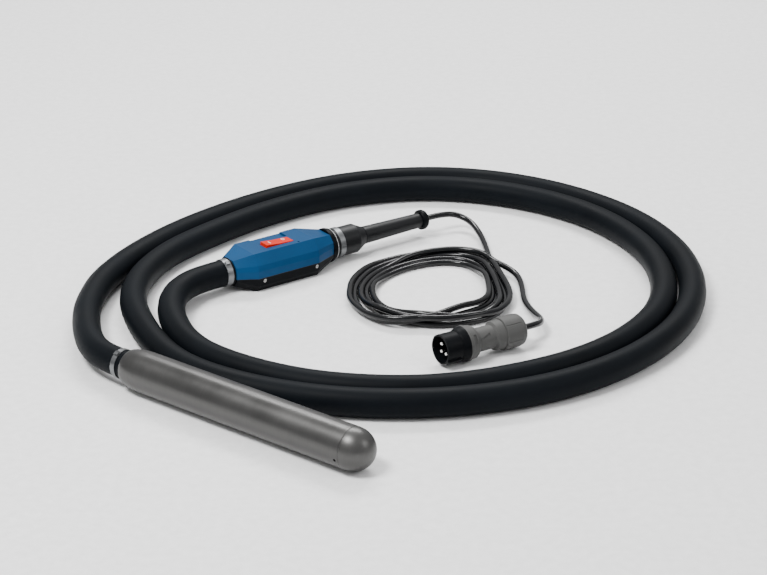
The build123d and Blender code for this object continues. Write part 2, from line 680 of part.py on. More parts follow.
# rocker at rest: far end pressed in
tilted = s_dir * math.cos(math.radians(RK_TILT)) - Vector(0, 0, math.sin(math.radians(RK_TILT)))
pivot = Plane(origin=SW.origin + s_dir * RK_S + n_dir * (RK_H + 8.8) + Vector(0, 0, RK_Z), x_dir=tilted, z_dir=n_dir * -1)
with BuildPart() as rocker_button:
    with BuildSketch(pivot):
        with BuildLine():
            Polyline((-22.4, 10.5), (0, 9.8), (22.4, 10.5), (22.4, 4.0), (9, -2.5), (4, -9), (-4, -9), (-9, -2.5),
                     (-22.4, 4.0), close=True)
        make_face()
        Circle(1.55, mode=Mode.SUBTRACT)
    extrude(amount=17.6)
save(rocker_button.part, "rocker_button")

with BuildPart() as contact_bridge:
    with BuildSketch(pivot.offset(2.3)):
        with BuildLine():
            Polyline((-9.5, -9.0), (9.5, -9.0), (9.5, -9.8), (-9.5, -9.8), close=True)
        make_face()
    extrude(amount=13.0)
save(contact_bridge.part, "contact_bridge")

# hose nipple of the housing, its lock nut and the band on the hose
with BuildPart() as housing_nipple:
    with BuildSketch(SW):
        with BuildLine():
            Polyline((-6, 8), (-6, 11.8), (-1.5, 12.9), (-1.5, 12.2), (3, 12.9), (3, 12.2), (7.5, 12.9), (7.5, 12.1),
                     (14.6, 12.1), (14.6, 16.5), (15.25, 16.5), (15.25, 13.1), (28, 13.1), (28, 8), close=True)
        make_face()
    revolve(axis=axis_of(SW))
save(housing_nipple.part, "housing_nipple")

with BuildPart() as housing_locknut:
    with BuildSketch(station(SW, 21.0)):
        Circle(15.2)
        Circle(13.12, mode=Mode.SUBTRACT)
        with PolarLocations(15.2, 4, start_angle=45):
            Rectangle(1.8, 3.0, mode=Mode.SUBTRACT)
    extrude(amount=5.0)

with BuildPart() as switch_hose_band:
    with BuildSketch(station(SW, 3.0)):
        Circle(HOSE_R + 0.95)
        Circle(HOSE_R + 0.03, mode=Mode.SUBTRACT)
    extrude(amount=9.3)
    chamfer(switch_hose_band.edges().filter_by(GeomType.CIRCLE).filter_by(lambda e: e.radius > HOSE_R + 0.5), 0.25)
save(switch_hose_band.part, "switch_hose_band")

# cores from the power lead to the block, and from the supply cord to the block
with BuildPart() as outlet_cores:
    with BuildSketch(station(SW, 14.05)):
        with PolarLocations(3.5, 3, start_angle=90):
            Circle(1.4)
    extrude(amount=RK_S - 25 - 14.05 - 0.05)

with BuildPart() as supply_cores:
    with BuildSketch(station(SW, RK_S + 25.05)):
        with PolarLocations(2.4, 3, start_angle=90):
            Circle(1.3)
    extrude(amount=198.0 - (RK_S + 25.05) - 0.05)
with BuildPart() as housing_cores:
    add(outlet_cores.part)
    add(supply_cores.part)
save(housing_cores.part, "housing_cores")

# cord outlet: collar with a spigot, lock nut, gland, rubber boot with grip, end collar, bush
outlet_collar = turned(SW, [(168.0, 9.5), (168.0, 13.1), (180.05, 13.1), (180.05, 25.5), (184, 25.5), (184, 24.0),
                            (189, 24.0), (189, 19.9), (226, 19.9), (226, 12.0), (200, 12.0), (200, 9.5)], "outlet_collar")

with BuildPart() as outlet_locknut:
    with BuildSketch(station(SW, 169.5)):
        Circle(15.6)
        Circle(13.12, mode=Mode.SUBTRACT)
        with PolarLocations(15.6, 4, start_angle=45):
            Rectangle(1.8, 3.0, mode=Mode.SUBTRACT)
    extrude(amount=5.0)
with BuildPart() as housing_locknuts:
    add(housing_locknut.part)
    add(outlet_locknut.part)
save(housing_locknuts.part, "housing_locknuts")

cord_gland = turned(SW, [(200.1, 4.42), (200.1, 11.9), (212, 11.9), (212, 4.42)], "cord_gland")
gland_screw = turned(SW, [(212.1, 5.0), (212.1, 11.9), (224, 11.9), (224, 9.0), (218, 9.0), (218, 5.0)], "gland_screw")
supply_inner = turned(SW, [(198.0, 0), (198.0, CORD_R), (367.5, CORD_R), (367.5, 0)], "supply_cord_inner")

grip_boot = turned(SW, [(189.1, 20.0), (189.1, 21.5), (230.5, 21.5), (246.7, 13.25), (249, 13.0), (350.9, 11.0),
                        (350.9, 6.5), (238, 6.5), (228, 20.0)], "grip_boot")
boot_band = turned(SW, [(194.8, 21.55), (194.8, 22.3), (195.1, 22.6), (203.2, 22.6), (203.5, 22.3), (203.5, 21.55)], "boot_band")
with BuildPart() as grip_end_collar:
    with BuildSketch(SW):
        with BuildLine():
            Polyline((351.0, 6.45), (351.0, 13.4), (352.6, 14.9), (357.6, 14.9), (360.8, 13.2), (362.8, 10.6), (362.8, 6.45), close=True)
        make_face()
    revolve(axis=axis_of(SW))
save(grip_end_collar.part, "grip_end_collar")
cord_bush = turned(SW, [(344.0, 4.43), (344.0, 6.4), (362.9, 6.4), (362.9, 6.0), (367.2, 5.4), (367.5, 5.0), (367.5, 4.43)], "cord_bush")

# ==================================================================
# SUPPLY CORD: lead, wound coil, tail
# ==================================================================

cord_start = [tup(SW.origin + s_dir * 367.5), tup(SW.origin + s_dir * 390.0)] + CORD_START[2:]
p_dir = Vector(PLUG.x_dir)
cord_end = CORD_END[:-2] + [tup(PLUG.origin + p_dir * 149.5), tup(PLUG.origin + p_dir * 127.0)]
lead_cord = laid_tube(cord_start, CORD_R, 0, "supply_cord_lead")
tail_cord = laid_tube(cord_end, CORD_R, 0, "supply_cord_tail")

COIL_OUT = [(297.3, 278.8), (304.3, 244.8), (315.3, 192.8), (322.3, 156.8), (323.3, 129.8), (318.3, 102.8), (306.3, 77.8), (292.3, 60.8), (272.3, 44.8),
            (256.3, 35.8), (237.3, 25.8), (218.3, 20.8), (187.3, 19.8), (168.3, 21.8), (149.3, 29.8), (130.3, 46.8), (116.3, 70.8), (101.3, 99.8), (94.3, 124.8),
            (93.3, 146.8), (94.3, 179.8), (100.3, 204.8), (110.3, 233.8), (125.3, 257.8), (140.3, 274.8), (160.3, 290.8), (181.3, 298.8), (201.3, 303.8),
            (222.3, 307.8), (245.3, 307.8), (267.3, 302.8), (285.3, 292.8)]
COIL_IN = [(282.3, 204.8), (284.3, 179.8), (285.3, 146.8), (284.3, 126.8), (278.3, 111.8), (263.3, 96.8), (245.3, 87.8), (230.3, 79.8), (217.3, 70.8),
           (201.3, 66.8), (186.3, 69.8), (169.3, 79.8), (152.3, 90.8), (140.3, 109.8), (134.3, 129.8), (130.3, 153.8), (132.3, 174.8), (140.3, 194.8),
           (150.3, 212.8), (165.3, 230.8), (180.3, 242.8), (200.3, 253.8), (221.3, 259.8), (237.3, 260.8), (254.3, 255.8), (270.3, 235.8)]
with BuildPart() as coil:
    with BuildSketch(Plane.XY.offset(0.2)):
        with BuildLine():
            Spline(*COIL_OUT, periodic=True)
        make_face()
        with BuildLine():
            Spline(*COIL_IN, periodic=True)
        make_face(mode=Mode.SUBTRACT)
    extrude(amount=20.8)
save(coil.part, "supply_cord_coil")

# ==================================================================
# PLUG
# ==================================================================

# three of the four corners of a square carry a pin
PIN_ANGLES = (45, -45, -135)
PIN_AT = [(7.6 * math.cos(math.radians(a)), 7.6 * math.sin(math.radians(a))) for a in PIN_ANGLES]
SCREW_AT = [(13.4 * math.cos(math.radians(a)), 13.4 * math.sin(math.radians(a))) for a in PIN_ANGLES]

with BuildPart() as plug_front:
    with BuildSketch(PLUG):
        with BuildLine():
            Polyline((0, 18.3), (0, 19.8), (0.4, PLUG_SHROUD_R), (24, PLUG_SHROUD_R), (24, 20.6), (26, 21.6), (32, 23.7), (34.5, 24.2),
                     (34.5, 18.2), (31, 18.2), (31, 17.2), (30, 17.2), (30, 18.3), close=True)
        make_face()
    revolve(axis=axis_of(PLUG))
    # polarising key along the outside of the rim
    with BuildSketch(station(PLUG, 0.0)):
        with Locations((-20.6 * math.cos(math.radians(38)), -20.6 * math.sin(math.radians(38)))):
            Rectangle(4.2, 6.5, rotation=38)
        Circle(19.0, mode=Mode.SUBTRACT)
    extrude(amount=22)
save(plug_front.part, "plug_front_shroud")

with BuildPart() as plug_insert:
    with BuildSketch(station(PLUG, 22.0)):
        Circle(18.2)
        with Locations(*PIN_AT):
            Circle(2.42, mode=Mode.SUBTRACT)
    extrude(amount=7.95)
    with BuildSketch(station(PLUG, 29.9)):
        Circle(17.0)
        with Locations(*PIN_AT):
            Circle(2.42, mode=Mode.SUBTRACT)
    extrude(amount=20)
    with BuildSketch(station(PLUG, 42.0)):
        with Locations(*SCREW_AT):
            Circle(2.1)
    extrude(amount=20, mode=Mode.SUBTRACT)
save(plug_insert.part, "plug_pin_insert")

with BuildPart() as plug_pins:
    with BuildSketch(station(PLUG, 5.0)):
        with Locations(*PIN_AT):
            Circle(2.4)
    extrude(amount=47)
    chamfer(plug_pins.faces().filter_by(lambda f: abs((f.center() - PLUG.origin).dot(p_dir) - 5.0) < 0.01).edges(), 0.8)
save(plug_pins.part, "plug_pins")

with BuildPart() as plug_terminal_screws:
    with BuildSketch(station(PLUG, 43.0)):
        with Locations(*SCREW_AT):
            Circle(2.0)
            Rectangle(0.7, 2.8, mode=Mode.SUBTRACT)
    extrude(amount=6)
save(plug_terminal_screws.part, "plug_terminal_screws")

with BuildPart() as plug_ring:
    with BuildSketch(PLUG):
        with BuildLine():
            Polyline((34.7, 18.4), (34.7, 24.0), (35.2, 24.4), (38.5, 24.4), (39.2, 23.6), (47.5, 22.6), (50.6, 20.8), (51.4, 20.0), (51.4, 18.4), close=True)
        make_face()
    revolve(axis=axis_of(PLUG))
    near_up = station(PLUG, 43).x_dir * -math.cos(math.radians(32)) + Vector(0, 0, math.sin(math.radians(32)))
    with BuildSketch(Plane(origin=PLUG.origin + p_dir * 43.5 + near_up * 21.2, x_dir=p_dir, z_dir=near_up)):
        Rectangle(3.8, 12)
    extrude(amount=6, mode=Mode.SUBTRACT)
save(plug_ring.part, "plug_lock_ring")

with BuildPart() as plug_body:
    with BuildSketch(PLUG):
        with BuildLine():
            Polyline((34.7, 17.2), (34.7, 18.3), (51.45, 18.3), (51.45, 16.4), (79.0, 16.0), (82.0, 19.2), (93.7, 20.4), (93.7, 16.5),
                     (110, 16.5), (110, 10), (88, 10), (84, 14.0), (50.4, 14.0), (50.4, 17.2), close=True)
        make_face()
    revolve(axis=axis_of(PLUG))
    # triangular recess that marks the key side
    up_face = Plane(origin=PLUG.origin + p_dir * 64.0 + near_up * 15.1, x_dir=p_dir, z_dir=near_up)
    with BuildSketch(up_face):
        Polygon((-8.5, -2.0), (6.5, 0.2), (6.5, 4.6), align=None)
    extrude(amount=4, mode=Mode.SUBTRACT)
save(plug_body.part, "plug_body")

with BuildPart() as plug_gland_nut:
    with BuildSketch(PLUG):
        with BuildLine():
            Polyline((93.8, 16.6), (93.8, 21.6), (94.6, 22.4), (118, 22.4), (123.5, 21.4), (126.6, 18.8), (126.6, 5.2),
                     (121, 5.2), (117, 14), (111, 16.6), close=True)
        make_face()
    revolve(axis=axis_of(PLUG))
    # grip flutes
    with BuildSketch(station(PLUG, 93.0)):
        with PolarLocations(22.9, 6, start_angle=12):
            Circle(1.1)
    extrude(amount=26, mode=Mode.SUBTRACT)
save(plug_gland_nut.part, "plug_gland_nut")

gland_seal = turned(PLUG, [(110.1, 4.42), (110.1, 13.6), (116, 13.6), (120.4, 5.15), (120.4, 4.42)], "plug_gland_seal")
plug_inner = turned(PLUG, [(84.0, 0), (84.0, CORD_R), (127.0, CORD_R), (127.0, 0)], "plug_cord_inner")

with BuildPart() as plug_cores:
    with BuildLine(PLUG) as core_path:
        FilletPolyline((83.8, 2.4), (78, 2.8), (64, 7.0), (52.2, 7.6), radius=[8, 8])
    with BuildSketch(Plane(origin=core_path.line @ 0, z_dir=core_path.line % 0)):
        Circle(1.3)
    sweep(path=core_path.wires()[0])
with BuildPart() as plug_cores_all:
    for a in PIN_ANGLES:
        add(plug_cores.part.rotate(axis_of(PLUG), a - 90))
save(plug_cores_all.part, "plug_cores")
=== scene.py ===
import bpy, bmesh, json, math
from mathutils import Vector, Matrix


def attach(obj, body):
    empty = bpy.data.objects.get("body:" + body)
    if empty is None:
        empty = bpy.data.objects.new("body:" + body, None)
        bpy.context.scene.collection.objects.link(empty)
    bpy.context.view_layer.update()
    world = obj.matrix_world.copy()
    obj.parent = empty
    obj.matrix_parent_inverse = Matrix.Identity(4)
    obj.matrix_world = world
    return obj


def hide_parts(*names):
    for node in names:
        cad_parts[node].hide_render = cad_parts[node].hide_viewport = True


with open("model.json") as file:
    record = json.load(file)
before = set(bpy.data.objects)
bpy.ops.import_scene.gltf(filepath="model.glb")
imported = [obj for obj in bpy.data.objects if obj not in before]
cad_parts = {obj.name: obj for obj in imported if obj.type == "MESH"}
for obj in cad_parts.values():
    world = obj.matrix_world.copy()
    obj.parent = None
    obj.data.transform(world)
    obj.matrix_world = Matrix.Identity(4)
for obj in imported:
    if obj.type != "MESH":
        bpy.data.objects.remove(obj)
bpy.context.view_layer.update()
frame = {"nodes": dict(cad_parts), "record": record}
nodes = frame["nodes"]

# ------------------------------------------------------------------ frame
MM = 0.001


def unit(deg):
    return Vector((math.cos(math.radians(deg)), math.sin(math.radians(deg)), 0.0))


UP = Vector((0, 0, 1))
HEAD_O, HEAD_D = Vector((-185.2, -136.4, 27.5)) * MM, unit(-38.64)
SW_O, SW_D = Vector((-88.5, 171.8, 26.0)) * MM, unit(36.25)
PL_O, PL_D = Vector((215.9, -81.3, 24.5)) * MM, unit(32.18)


def side(d):
    return Vector((-d.y, d.x, 0.0))


def at(o, d, s, h=0.0, z=0.0):
    """Point at station s, h to the far side and z up from an assembly axis, in millimetres."""
    return o + d * (s * MM) + side(d) * (h * MM) + UP * (z * MM)


# ------------------------------------------------------------------ camera
cam_data = bpy.data.cameras.new("camera")
cam = bpy.data.objects.new("camera", cam_data)
bpy.context.scene.collection.objects.link(cam)
cam.location = (0.1421, -2.7522, 1.2464)
cam.rotation_euler = (math.radians(67.0), 0, 0)
cam_data.sensor_fit = "HORIZONTAL"
cam_data.sensor_width = 36.0
cam_data.lens = 105.77
cam_data.clip_start = 0.05
cam_data.clip_end = 60.0
bpy.context.scene.camera = cam


# ------------------------------------------------------------------ materials
def material(name, base, rough, metal=0.0, vary=0.12, rough_vary=0.08, bump=0.0006, grain=900.0, patch=14.0,
             coat=0.0, coat_rough=0.15, spec=0.5, stretch=None, angle=0.0, wear=None, wear_at=0.66, sheen=0.0):
    m = bpy.data.materials.new(name)
    m.use_nodes = True
    nt = m.node_tree
    n, l = nt.nodes, nt.links
    for x in list(n):
        n.remove(x)
    out = n.new("ShaderNodeOutputMaterial")
    bs = n.new("ShaderNodeBsdfPrincipled")
    l.new(bs.outputs[0], out.inputs[0])
    bs.inputs["Metallic"].default_value = metal
    bs.inputs["Specular IOR Level"].default_value = spec
    bs.inputs["Coat Weight"].default_value = coat
    bs.inputs["Coat Roughness"].default_value = coat_rough
    tc = n.new("ShaderNodeTexCoord")
    mp = n.new("ShaderNodeMapping")
    mp.vector_type = "TEXTURE"
    mp.inputs["Rotation"].default_value = (0, 0, math.radians(angle))
    if stretch:
        mp.inputs["Scale"].default_value = stretch
    l.new(tc.outputs["Object"], mp.inputs["Vector"])
    big = n.new("ShaderNodeTexNoise")
    big.inputs["Scale"].default_value = patch
    big.inputs["Detail"].default_value = 6
    big.inputs["Roughness"].default_value = 0.6
    l.new(tc.outputs["Object"], big.inputs["Vector"])
    fine = n.new("ShaderNodeTexNoise")
    fine.inputs["Scale"].default_value = grain
    fine.inputs["Detail"].default_value = 4
    l.new(mp.outputs[0], fine.inputs["Vector"])
    # colour: patchy variation of the base, then optional worn tint
    ramp = n.new("ShaderNodeValToRGB")
    b = Vector(base)
    ramp.color_ramp.elements[0].position = 0.3
    ramp.color_ramp.elements[1].position = 0.72
    ramp.color_ramp.elements[0].color = (*(b * (1 - vary)), 1)
    ramp.color_ramp.elements[1].color = (*[min(1, c) for c in (b * (1 + vary))], 1)
    l.new(big.outputs["Fac"], ramp.inputs[0])
    col = ramp.outputs[0]
    mix = n.new("ShaderNodeMix")
    mix.data_type = "RGBA"
    mix.blend_type = "MULTIPLY"
    fr = n.new("ShaderNodeMapRange")
    fr.inputs["From Min"].default_value = 0.3
    fr.inputs["From Max"].default_value = 0.7
    fr.inputs["To Min"].default_value = 0.0
    fr.inputs["To Max"].default_value = 0.35
    l.new(fine.outputs["Fac"], fr.inputs["Value"])
    l.new(fr.outputs[0], mix.inputs["Factor"])
    l.new(col, mix.inputs["A"])
    mix.inputs["B"].default_value = (0.75, 0.75, 0.75, 1)
    col = mix.outputs["Result"]
    if wear:
        sc = n.new("ShaderNodeTexNoise")
        sc.inputs["Scale"].default_value = 55.0
        sc.inputs["Detail"].default_value = 9
        sc.inputs["Roughness"].default_value = 0.72
        l.new(tc.outputs["Object"], sc.inputs["Vector"])
        wr = n.new("ShaderNodeMapRange")
        wr.inputs["From Min"].default_value = wear_at
        wr.inputs["From Max"].default_value = wear_at + 0.05
        wr.inputs["To Max"].default_value = 0.6
        l.new(sc.outputs["Fac"], wr.inputs["Value"])
        wm = n.new("ShaderNodeMix")
        wm.data_type = "RGBA"
        l.new(wr.outputs[0], wm.inputs["Factor"])
        l.new(col, wm.inputs["A"])
        wm.inputs["B"].default_value = (*wear, 1)
        col = wm.outputs["Result"]
    l.new(col, bs.inputs["Base Color"])
    rr = n.new("ShaderNodeMapRange")
    rr.inputs["From Min"].default_value = 0.3
    rr.inputs["From Max"].default_value = 0.7
    rr.inputs["To Min"].default_value = max(0.03, rough - rough_vary)
    rr.inputs["To Max"].default_value = min(1.0, rough + rough_vary)
    l.new(big.outputs["Fac"], rr.inputs["Value"])
    l.new(rr.outputs[0], bs.inputs["Roughness"])
    bp = n.new("ShaderNodeBump")
    bp.inputs["Strength"].default_value = 0.5
    bp.inputs["Distance"].default_value = bump
    l.new(fine.outputs["Fac"], bp.inputs["Height"])
    l.new(bp.outputs[0], bs.inputs["Normal"])
    return m


M = {
    "steel": material("head_steel", (0.082, 0.081, 0.079), 0.36, 0.9, vary=0.10, bump=0.00003, grain=1.0, stretch=(0.0007, 0.02, 0.02),
                      angle=-38.64, wear=(0.07, 0.068, 0.064), wear_at=0.73),
    "steel_plain": material("steel_plain", (0.279, 0.275, 0.266), 0.28, 1.0, vary=0.08, bump=0.00005),
    "iron": material("iron", (0.16, 0.16, 0.165), 0.6, 0.6, vary=0.2, bump=0.0003, grain=500),
    "bearing_steel": material("bearing_steel", (0.72, 0.72, 0.74), 0.14, 1.0, vary=0.04, bump=0.00002),
    "lamination": material("lamination", (0.30, 0.31, 0.33), 0.4, 1.0, grain=1.0, stretch=(0.0005, 0.05, 0.05), angle=-38.64, bump=0.0002),
    "copper": material("copper", (0.70, 0.30, 0.14), 0.3, 1.0, vary=0.15, bump=0.0002),
    "brass": material("brass", (0.80, 0.62, 0.28), 0.25, 1.0, vary=0.1, bump=0.00005),
    "pin": material("pin_metal", (0.86, 0.85, 0.82), 0.15, 1.0, vary=0.05, bump=0.00003),
    "band": material("band_metal", (0.17, 0.175, 0.18), 0.36, 0.9, vary=0.08, bump=0.00005, wear=(0.5, 0.5, 0.5)),
    "hose": material("hose_rubber", (0.0034, 0.0046, 0.0062), 0.50, vary=0.3, rough_vary=0.07, bump=0.00022, grain=1400, patch=9,
                     spec=0.05, wear=(0.007, 0.009, 0.011), wear_at=0.70),
    "cord": material("cord_sheath", (0.0030, 0.0034, 0.0042), 0.20, vary=0.25, rough_vary=0.05, bump=0.00012, grain=900, patch=10,
                     spec=0.26, coat=0.09, coat_rough=0.08, wear=(0.010, 0.010, 0.011), wear_at=0.74),
    "boot": material("boot_rubber", (0.0035, 0.0040, 0.0050), 0.42, vary=0.25, rough_vary=0.06, bump=0.00012, grain=1100, spec=0.22,
                     wear=(0.014, 0.014, 0.015), wear_at=0.72),
    "blue": material("cover_blue", (0.0016, 0.046, 0.130), 0.42, vary=0.10, rough_vary=0.05, bump=0.00012, grain=1500, spec=0.09,
                     wear=(0.008, 0.10, 0.26), wear_at=0.74),
    "red": material("rocker_red", (0.60, 0.018, 0.005), 0.40, vary=0.06, rough_vary=0.04, bump=0.00003, spec=0.08),
    "black": material("shell_black", (0.0040, 0.0046, 0.0056), 0.42, vary=0.2, rough_vary=0.06, bump=0.00015, grain=1300, spec=0.05, wear=(0.009, 0.010, 0.011), wear_at=0.71),
    "grey": material("plug_grey", (0.076, 0.076, 0.074), 0.55, vary=0.07, rough_vary=0.05, bump=0.00015, grain=1300, spec=0.15, wear=(0.12, 0.12, 0.117), wear_at=0.72),
    # pale grey for the painted highlight ring on the collar rim
    "light": material("painted_highlight_line", (0.62, 0.63, 0.64), 0.35, vary=0.05, bump=0.00003),
    "mark": material("mark_white", (0.85, 0.84, 0.82), 0.5, vary=0.05, bump=0.00002),
    "insulator": material("insulator", (0.55, 0.45, 0.30), 0.5, vary=0.1, bump=0.0001),
    "dark": material("dark_recess", (0.006, 0.006, 0.006), 0.7, vary=0.1, bump=0.0001),
}
SLOT_MAT = {"steel": "steel", "iron": "iron", "bearing_steel": "bearing_steel", "lamination": "lamination", "copper": "copper", "brass": "brass",
            "band": "band", "rubber_black": "boot", "cover_blue": "blue", "rocker_red": "red", "plug_grey": "grey", "shell_black": "black",
            "insulator": "insulator"}
OWN = {"plug_pins": "pin", "supply_cord_inner": "cord", "plug_cord_inner": "cord", "hose_power_lead": "cord", "side_screws": "steel_plain",
       "cover_screws": "steel_plain", "housing_locknuts": "steel_plain", "rocker_pin": "steel_plain", "plug_pin_insert": "black",
       "contact_block": "black"}
slots = {s["node"]: s["material_slot"] for s in frame["record"]["subparts"]}
for name, ob in nodes.items():
    mat = M[OWN.get(name, SLOT_MAT[slots[name]])]
    ob.data.materials.clear()
    ob.data.materials.append(mat)


# ------------------------------------------------------------------ cords
def spline_cord(name, points, diameter, mat):
    cu = bpy.data.curves.new(name, "CURVE")
    cu.dimensions = "3D"
    sp = cu.splines.new("NURBS")
    sp.points.add(len(points) - 1)
    for pt, co in zip(sp.points, points):
        pt.co = (co[0] * MM, co[1] * MM, co[2] * MM, 1)
    sp.order_u = 3
    sp.use_endpoint_u = True
    sp.resolution_u = 8
    cu.bevel_depth = diameter * MM / 2
    cu.bevel_resolution = 7
    cu.use_fill_caps = True
    cu.materials.append(mat)
    ob = bpy.data.objects.new(name, cu)
    bpy.context.scene.collection.objects.link(ob)
    return ob


def raw(v):
    return (v.x / MM, v.y / MM, v.z / MM)


HOSE = [
    (-181.7, -136.3, 27.5), (-206.7, -116.3, 27.5), (-232.0, -80.5, 26.6), (-248.2, -19.5, 24.2),
    (-258.7, 69.5, 21.2), (-245.0, 183.2, 19.3), (-184.3, 307.2, 19.0), (-107.1, 406.6, 19.0),
    (-12.1, 494.3, 19.0), (98.4, 558.8, 19.0), (226.2, 583.2, 19.0), (352.3, 552.8, 19.0),
    (457.8, 479.1, 19.0), (536.8, 376.4, 19.0), (577.9, 255.6, 19.0), (581.2, 125.8, 19.0),
    (545.4, 2.5, 19.0), (471.5, -103.7, 19.0), (370.5, -183.4, 19.0), (248.4, -226.6, 19.0),
    (119.6, -232.4, 19.0), (-5.4, -200.3, 19.0), (-116.5, -126.3, 19.0), (-173.8, -9.8, 19.0),
    (-206.4, 117.7, 19.0), (-177.9, 245.0, 19.0), (-101.9, 350.0, 19.0), (-14.7, 442.5, 19.0),
    (93.0, 513.8, 19.0), (220.1, 542.3, 19.0), (345.2, 510.5, 19.0), (449.5, 433.7, 19.0),
    (517.4, 323.2, 19.0), (543.9, 198.0, 19.0), (530.3, 68.4, 19.0), (469.9, -43.3, 19.0),
    (372.6, -132.0, 19.0), (222.5, -194.6, 19.0), (75.3, -186.1, 19.0), (-31.8, -136.9, 19.9),
    (-104.4, -72.1, 21.4), (-138.7, 18.6, 23.0), (-143.7, 85.0, 24.8), (-129.2, 128.0, 25.8),
    (-103.2, 156.8, 26.0), (-72.1, 179.6, 26.0),
]
HOSE = [(x - 4.7, y + 0.8, z) for x, y, z in HOSE]
HOSE[0] = raw(at(HEAD_O, HEAD_D, 2.45))
HOSE[1] = raw(at(HEAD_O, HEAD_D, -33.5))
HOSE[-2] = raw(at(SW_O, SW_D, -24.1))
HOSE[-1] = raw(at(SW_O, SW_D, 14.5))
hose = spline_cord("hose_tube", HOSE, 38.0, M["hose"])
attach(hose, "body")
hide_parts("protective_hose")

LEAD = [(212.6, 388.4, 26.0), (231.3, 402.1, 25.6), (255.3, 415.5, 22.0), (277.8, 402.0, 15.5), (290.3, 369.0, 9.2),
        (296.8, 330.0, 5.6), (300.6, 284.0, 4.6)]
TAIL = [(306.5, 245.5, 14.2), (322.5, 234.0, 11.0), (338.6, 212.5, 7.0), (342.5, 175.0, 4.7), (342.2, 133.3, 4.6), (346.3, 104.0, 5.4),
        (354.0, 72.0, 8.5), (360.5, 44.0, 13.5), (359.0, 18.0, 19.0)]
LEAD = [(x - 4.7, y + 0.8, z) for x, y, z in LEAD]
TAIL = [(x - 4.7, y + 0.8, z) for x, y, z in TAIL]
LEAD[0], LEAD[1] = raw(at(SW_O, SW_D, 367.5)), raw(at(SW_O, SW_D, 390.0))
TAIL += [raw(at(PL_O, PL_D, 149.5)), raw(at(PL_O, PL_D, 127.0))]

# five wound turns between an inner and an outer outline, each lying on the ones before it
COIL_OUT = [(302, 278), (309, 244), (320, 192), (327, 156), (328, 129), (323, 102), (311, 77), (297, 60), (277, 44), (261, 35), (242, 25),
            (223, 20), (192, 19), (173, 21), (154, 29), (135, 46), (121, 70), (106, 99), (99, 124), (98, 146), (99, 179), (105, 204),
            (115, 233), (130, 257), (145, 274), (165, 290), (186, 298), (206, 303), (227, 307), (250, 307), (272, 302), (290, 292)]
COIL_IN = [(287, 204), (289, 179), (290, 146), (289, 126), (283, 111), (268, 96), (250, 87), (235, 79), (222, 70), (206, 66), (191, 69),
           (174, 79), (157, 90), (145, 109), (139, 129), (135, 153), (137, 174), (145, 194), (155, 212), (170, 230), (185, 242), (205, 253),
           (226, 259), (242, 260), (259, 255), (275, 235)]
COIL_OUT = [(x - (3.5 if x < 140 else 0), y + (6.0 if y < 60 else 0)) for x, y in COIL_OUT]
CX, CY = 208.1, 159.8


def radius_at(outline, a):
    """Distance from the coil's middle to an outline along direction a."""
    pts = [(x - 4.7 - CX, y + 0.8 - CY) for x, y in outline]
    dx, dy = math.cos(a), math.sin(a)
    best = 0.0
    for (x0, y0), (x1, y1) in zip(pts, pts[1:] + pts[:1]):
        ex, ey = x1 - x0, y1 - y0
        den = dx * ey - dy * ex
        if abs(den) < 1e-9:
            continue
        t = (x0 * ey - y0 * ex) / den
        k = (x0 * dy - y0 * dx) / den
        if t > 0 and -1e-6 <= k <= 1 + 1e-6:
            best = max(best, t)
    return best


# fraction between the outlines at quarter turns, from the entry at the upper right, clockwise
# five turns, each at the right, front right, front left, left, back left, back right
ORDER = [(0.80, 0.90, 0.36, 0.26, 0.28, 0.45), (0.22, 0.08, 0.80, 0.78, 0.76, 0.60), (0.50, 0.66, 0.10, 0.00, 0.00, 0.10),
         (0.02, 0.02, 1.00, 1.00, 1.00, 1.00), (1.00, 1.00, 0.56, 0.52, 0.52, 0.80)]
AT_DEG = (0.0, -62.0, -118.0, -180.0, -240.0, -295.0)
KNOT_U, KNOTS = [0.0], [1.02]
for k, row in enumerate(ORDER):
    for deg, f in zip(AT_DEG, row):
        KNOT_U.append(k + (54.9 - deg) / 360.0)
        KNOTS.append(f)
while KNOT_U[-1] > 4.97:
    KNOT_U.pop()
    KNOTS.pop()
KNOT_U.append(5.034)
KNOTS.append(0.97)
TURNS = 5.034
START = math.radians(54.9)


def fraction(u):
    for i in range(len(KNOT_U) - 1):
        if u <= KNOT_U[i + 1] or i == len(KNOT_U) - 2:
            t = (u - KNOT_U[i]) / (KNOT_U[i + 1] - KNOT_U[i])
            t = max(0.0, min(1.0, t))
            w = KNOT_U[i + 1] - KNOT_U[i]
            lo, hi = max(i - 1, 0), min(i + 2, len(KNOTS) - 1)
            m0 = (KNOTS[i + 1] - KNOTS[lo]) / (KNOT_U[i + 1] - KNOT_U[lo]) * w
            m1 = (KNOTS[hi] - KNOTS[i]) / (KNOT_U[hi] - KNOT_U[i]) * w
            v = (2 * t ** 3 - 3 * t * t + 1) * KNOTS[i] + (t ** 3 - 2 * t * t + t) * m0 + (3 * t * t - 2 * t ** 3) * KNOTS[i + 1] + (t ** 3 - t * t) * m1
            return max(0.0, min(1.02, v))


R = 4.4
PER = 24
count = int(PER * TURNS)
flat = []
for i in range(1, count):
    u = TURNS * i / count
    a = START - 2 * math.pi * u
    ri, ro = radius_at(COIL_IN, a) + R, radius_at(COIL_OUT, a) - R
    r = ri + (ro - ri) * fraction(u)
    flat.append((CX + r * math.cos(a), CY + r * math.sin(a)))


def dense(pts, k=6):
    out = []
    for (x0, y0), (x1, y1) in zip(pts, pts[1:]):
        out += [(x0 + (x1 - x0) * j / k, y0 + (y1 - y0) * j / k) for j in range(k)]
    return out + [pts[-1]]


